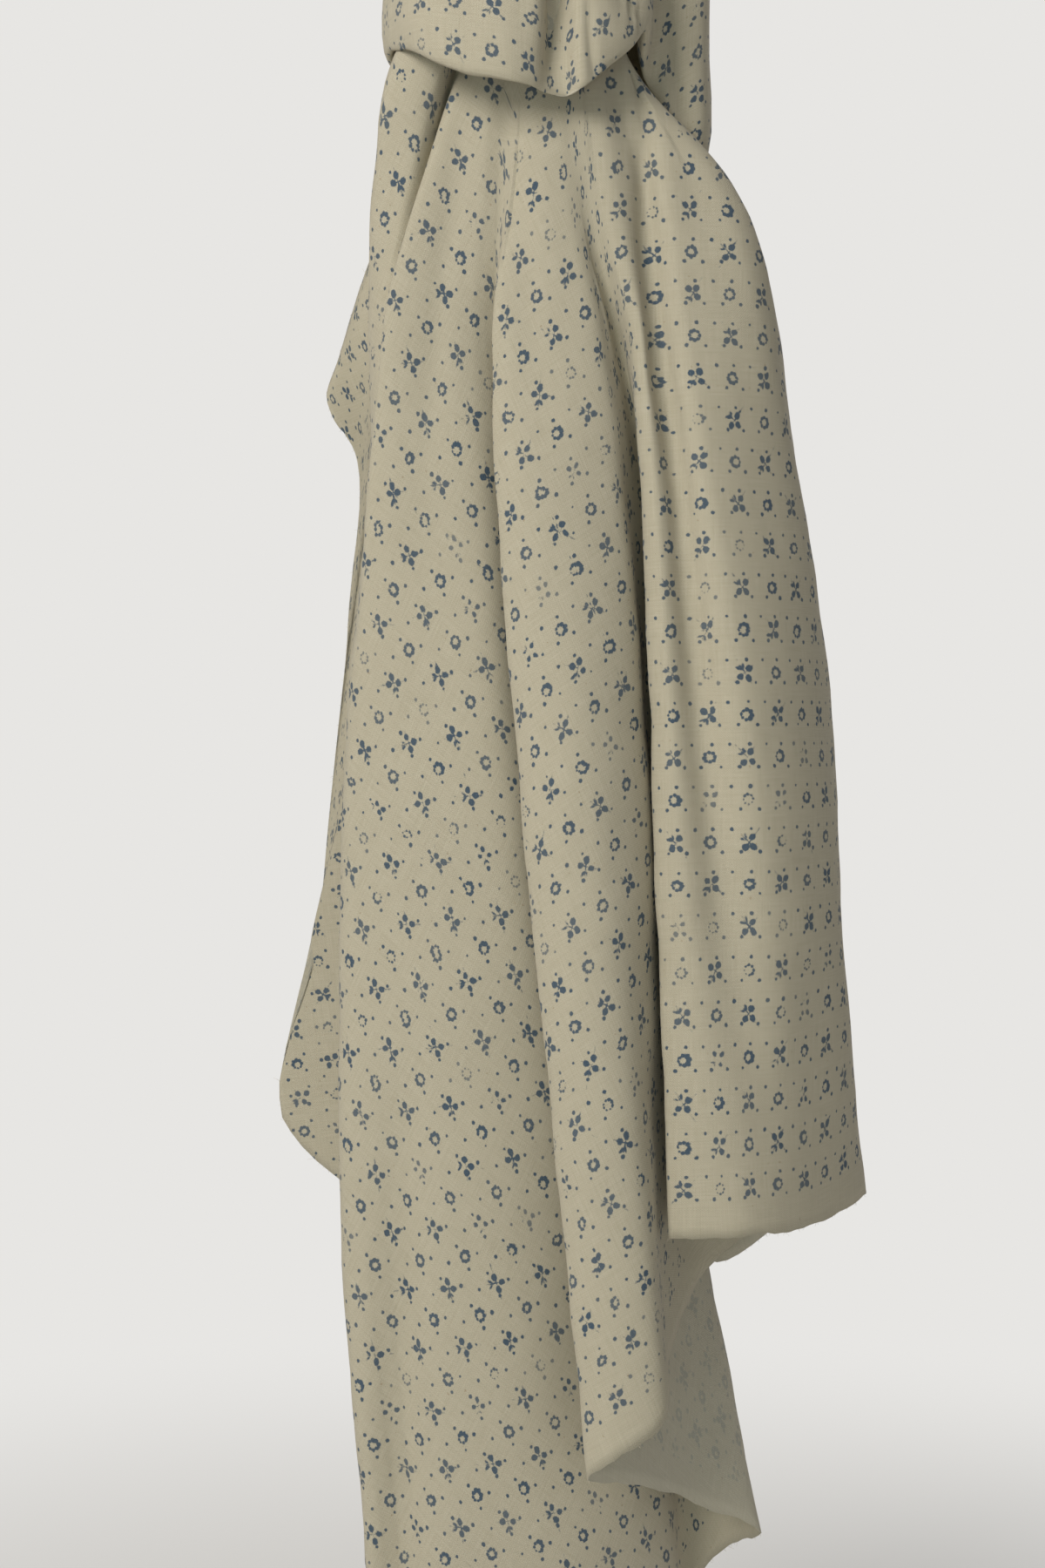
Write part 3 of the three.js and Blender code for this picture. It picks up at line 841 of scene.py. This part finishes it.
def makeWeaveGroup():
    tree, given, result = newTree(
        "plainWeave",
        [("Flat Place", "Vector", None)],
        [("Height", "Float", None), ("Thread", "Float", None), ("Fleck", "Float", None)],
    )
    place = inMillimetres(tree, given.outputs["Flat Place"])
    place = wander(tree, place, weave["wanderScale"], 2.0, weave["wander"])
    x, y, _ = split(tree, place)
    across = calc(tree, "SINE", times(tree, x, math.pi / weave["threadPitch"]))
    along = calc(tree, "SINE", times(tree, y, math.pi / weave["threadPitch"]))
    crossing = times(tree, across, along)
    weft = slubs(tree, x, y, weave["slubLength"], weave["slubWidth"], seed=0.0)
    warp = slubs(tree, x, y, weave["slubWidth"], weave["slubLength"], seed=7.0)
    thread = plus(tree, weft, warp)
    raised = times(tree, crossing, weave["crossingHeight"])
    raised = plus(tree, raised, times(tree, thread, weave["slubHeight"]))
    tree.links.new(raised, result.inputs["Height"])
    # Painted shade: where the slubs and the crossings dip, as in the height, the colour is darker. It goes
    # out as Thread.
    paintedShade = times(tree, thread, weave["slubShade"])
    paintedShade = plus(tree, paintedShade, times(tree, crossing, weave["crossingShade"]))
    tree.links.new(paintedShade, result.inputs["Thread"])
    fleckNoise = noiseAt(tree, place, weave["fleckScale"], detail=1.0, roughness=0.4)
    tree.links.new(calc(tree, "GREATER_THAN", fleckNoise, weave["fleckAbove"]), result.inputs["Fleck"])
    return tree


# Colours are linear, and inkShare is how much of the print shows on that side. Shade is the ground darkened,
# as painted shade for where the weave dips.
finishes = {
    "printedFront": {"ground": (0.515, 0.472, 0.362, 1), "shade": (0.425, 0.382, 0.280, 1),
                     "ink": (0.038, 0.074, 0.118, 1), "inkShare": 0.97, "spread": 0.0},
    "plainBack": {"ground": (0.540, 0.505, 0.405, 1), "shade": (0.450, 0.415, 0.320, 1),
                  "ink": (0.10, 0.15, 0.20, 1), "inkShare": 0.3, "spread": 0.2},
    "cutEdge": {"ground": (0.580, 0.540, 0.430, 1), "shade": (0.480, 0.440, 0.340, 1),
                "ink": (0.10, 0.15, 0.20, 1), "inkShare": 0.0, "spread": 0.0},
}
# What all three sides share.
surface = {
    "shadeBelow": 0.36,  # how the thickness of the threads turns into the painted shade and the ground colour: thin, low places take the shade
    "shadeGain": 3.4,
    "fleck": (0.22, 0.12, 0.05, 1),
    "fleckShare": 0.35,
    "bumpStrength": 0.6,
    "bumpDistance": 0.12 * mm,
    "roughness": 0.9,
    "specular": 0.25,
    "sheen": 0.12,
    "sheenRoughness": 0.5,
    "threadPatches": 300.0,  # on the loose threads, in cells to the metre
}


def mixColour(tree, factor, a, b):
    node = tree.nodes.new("ShaderNodeMix")
    node.data_type = "RGBA"
    # For colours, the factor is socket 0, the two colours are 6 and 7, and the result is 2.
    plug(tree, node.inputs[0], factor)
    plug(tree, node.inputs[6], a)
    plug(tree, node.inputs[7], b)
    return node.outputs[2]


def makeClothMaterial(name, printGroup, weaveGroup):
    finish = finishes[name]
    material = bpy.data.materials.new(name)
    material.use_nodes = True
    tree = material.node_tree
    shader = tree.nodes["Principled BSDF"]
    flat = tree.nodes.new("ShaderNodeUVMap")
    flat.uv_map = "flatPlace"
    threads = tree.nodes.new("ShaderNodeGroup")
    threads.node_tree = weaveGroup
    tree.links.new(flat.outputs["UV"], threads.inputs["Flat Place"])
    inked = tree.nodes.new("ShaderNodeGroup")
    inked.node_tree = printGroup
    inked.inputs["Spread"].default_value = finish["spread"]
    hemDistance = tree.nodes.new("ShaderNodeAttribute")
    hemDistance.attribute_name = "fromHem"
    tree.links.new(hemDistance.outputs["Fac"], inked.inputs["From Hem"])
    tree.links.new(flat.outputs["UV"], inked.inputs["Flat Place"])
    # Painted shade on the weave: where the threads are thin or dip, the colour goes from the ground to the
    # darker shade.
    thick = minus(tree, threads.outputs["Thread"], surface["shadeBelow"])
    thick = times(tree, thick, surface["shadeGain"], clamp=True)
    colour = mixColour(tree, thick, finish["shade"], finish["ground"])
    flecked = times(tree, threads.outputs["Fleck"], surface["fleckShare"])
    colour = mixColour(tree, flecked, colour, surface["fleck"])
    share = times(tree, inked.outputs["Ink"], finish["inkShare"])
    colour = mixColour(tree, share, colour, finish["ink"])
    tree.links.new(colour, shader.inputs["Base Color"])
    bump = tree.nodes.new("ShaderNodeBump")
    bump.inputs["Strength"].default_value = surface["bumpStrength"]
    bump.inputs["Distance"].default_value = surface["bumpDistance"]
    tree.links.new(threads.outputs["Height"], bump.inputs["Height"])
    tree.links.new(bump.outputs["Normal"], shader.inputs["Normal"])
    shader.inputs["Roughness"].default_value = surface["roughness"]
    shader.inputs["Specular IOR Level"].default_value = surface["specular"]
    shader.inputs["Sheen Weight"].default_value = surface["sheen"]
    shader.inputs["Sheen Roughness"].default_value = surface["sheenRoughness"]
    return material


def makeThreadMaterial():
    material = bpy.data.materials.new("looseThread")
    material.use_nodes = True
    tree = material.node_tree
    shader = tree.nodes["Principled BSDF"]
    place = tree.nodes.new("ShaderNodeTexCoord")
    patches = noiseAt(tree, place.outputs["Object"], surface["threadPatches"], detail=1.0)
    colour = mixColour(tree, patches, finishes["cutEdge"]["shade"], finishes["cutEdge"]["ground"])
    tree.links.new(colour, shader.inputs["Base Color"])
    shader.inputs["Roughness"].default_value = surface["roughness"]
    shader.inputs["Specular IOR Level"].default_value = surface["specular"]
    return material


print("draping the sheet")
sheet, rows, hangingCount = addSheet()
printGroup = makePrintGroup()
weaveGroup = makeWeaveGroup()
for name in finishes:
    sheet.data.materials.append(makeClothMaterial(name, printGroup, weaveGroup))
solidify = sheet.modifiers.new("thickness", "SOLIDIFY")
solidify.thickness = cloth["thickness"] * mm
solidify.offset = 0
solidify.material_offset = 1  # the back and the rim take the second and third finish
solidify.material_offset_rim = 2
bpy.context.view_layer.objects.active = sheet
bpy.ops.object.modifier_apply(modifier=solidify.name)
for polygon in sheet.data.polygons:
    polygon.use_smooth = True
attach(sheet, "root")
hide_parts("cloth")

print("fraying the cut edges")
threads = addThreads(rows, hangingCount)
threads.data.materials.append(makeThreadMaterial())
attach(threads, "root")

# The room, in metres: a pale floor below the lowest corner, a pale background, soft lamps and the camera.
room = {
    "floorZ": -0.80,
    "floorSize": 12.0,
    "floorFadeFrom": 0.15,
    "floorFadeTo": 0.95,
    "floorRoughness": 0.85,
    "pale": (0.80, 0.79, 0.77, 1),
    "ambient": 0.36,
    "camera": (-0.0133, -0.853, -0.350),
    "lens": 50,  # these two in millimetres
    "sensor": 36,
    "lampsAim": (0, 0, -0.35),
}
lamps = [
    # name, place, size, power, colour
    ("key", (-1.0, -1.4, 0.5), 0.8, 24, (1.0, 0.965, 0.92)),
    ("low", (-0.3, -1.7, -1.0), 1.2, 6.3, (0.64, 1.0, 1.0)),
    ("back", (0.5, 1.8, 0.8), 1.4, 15, (1.0, 0.985, 0.96)),
]


def addRoom():
    bpy.ops.mesh.primitive_plane_add(size=room["floorSize"], location=(0, 0, room["floorZ"]))
    floor = bpy.context.object
    floor.name = "floor"
    bpy.ops.object.transform_apply(location=True)
    material = bpy.data.materials.new("paleFloor")
    material.use_nodes = True
    tree = material.node_tree
    shader = tree.nodes["Principled BSDF"]
    shader.inputs["Base Color"].default_value = room["pale"]
    shader.inputs["Roughness"].default_value = room["floorRoughness"]
    # Away from the object the floor runs into the background with no line between them.
    place = tree.nodes.new("ShaderNodeTexCoord")
    x, y, _ = split(tree, place.outputs["Object"])
    fade = tree.nodes.new("ShaderNodeMapRange")
    fade.interpolation_type = "SMOOTHSTEP"
    plug(tree, fade.inputs["Value"], distanceTo(tree, x, y, 0.0, 0.0))
    fade.inputs["From Min"].default_value = room["floorFadeFrom"]
    fade.inputs["From Max"].default_value = room["floorFadeTo"]
    glow = tree.nodes.new("ShaderNodeEmission")
    glow.inputs["Color"].default_value = room["pale"]
    path = tree.nodes.new("ShaderNodeLightPath")
    seen = times(tree, fade.outputs[0], path.outputs["Is Camera Ray"])
    mix = tree.nodes.new("ShaderNodeMixShader")
    plug(tree, mix.inputs[0], seen)
    tree.links.new(shader.outputs[0], mix.inputs[1])
    tree.links.new(glow.outputs[0], mix.inputs[2])
    tree.links.new(mix.outputs[0], tree.nodes["Material Output"].inputs["Surface"])
    floor.data.materials.append(material)

    world = bpy.data.worlds.new("paleRoom")
    bpy.context.scene.world = world
    world.use_nodes = True
    tree = world.node_tree
    background = tree.nodes["Background"]
    path = tree.nodes.new("ShaderNodeLightPath")
    background.inputs["Color"].default_value = room["pale"]
    # What the camera sees is at full strength, and only the ambient part lights the object.
    strength = times(tree, path.outputs["Is Camera Ray"], 1 - room["ambient"])
    strength = plus(tree, strength, room["ambient"])
    tree.links.new(strength, background.inputs["Strength"])

    for name, place, size, power, colour in lamps:
        bpy.ops.object.light_add(type="AREA", location=place)
        lamp = bpy.context.object
        lamp.name = name
        lamp.data.size = size
        lamp.data.energy = power
        lamp.data.color = colour
        aim = Vector(room["lampsAim"]) - Vector(place)
        lamp.rotation_euler = aim.to_track_quat("-Z", "Y").to_euler()

    bpy.ops.object.camera_add(location=room["camera"], rotation=(math.radians(90), 0, 0))
    camera = bpy.context.object
    camera.data.lens = room["lens"]
    camera.data.sensor_fit = "VERTICAL"
    camera.data.sensor_height = room["sensor"]
    bpy.context.scene.camera = camera
    bpy.context.scene.view_settings.view_transform = "Standard"


print("lighting the room")
addRoom()
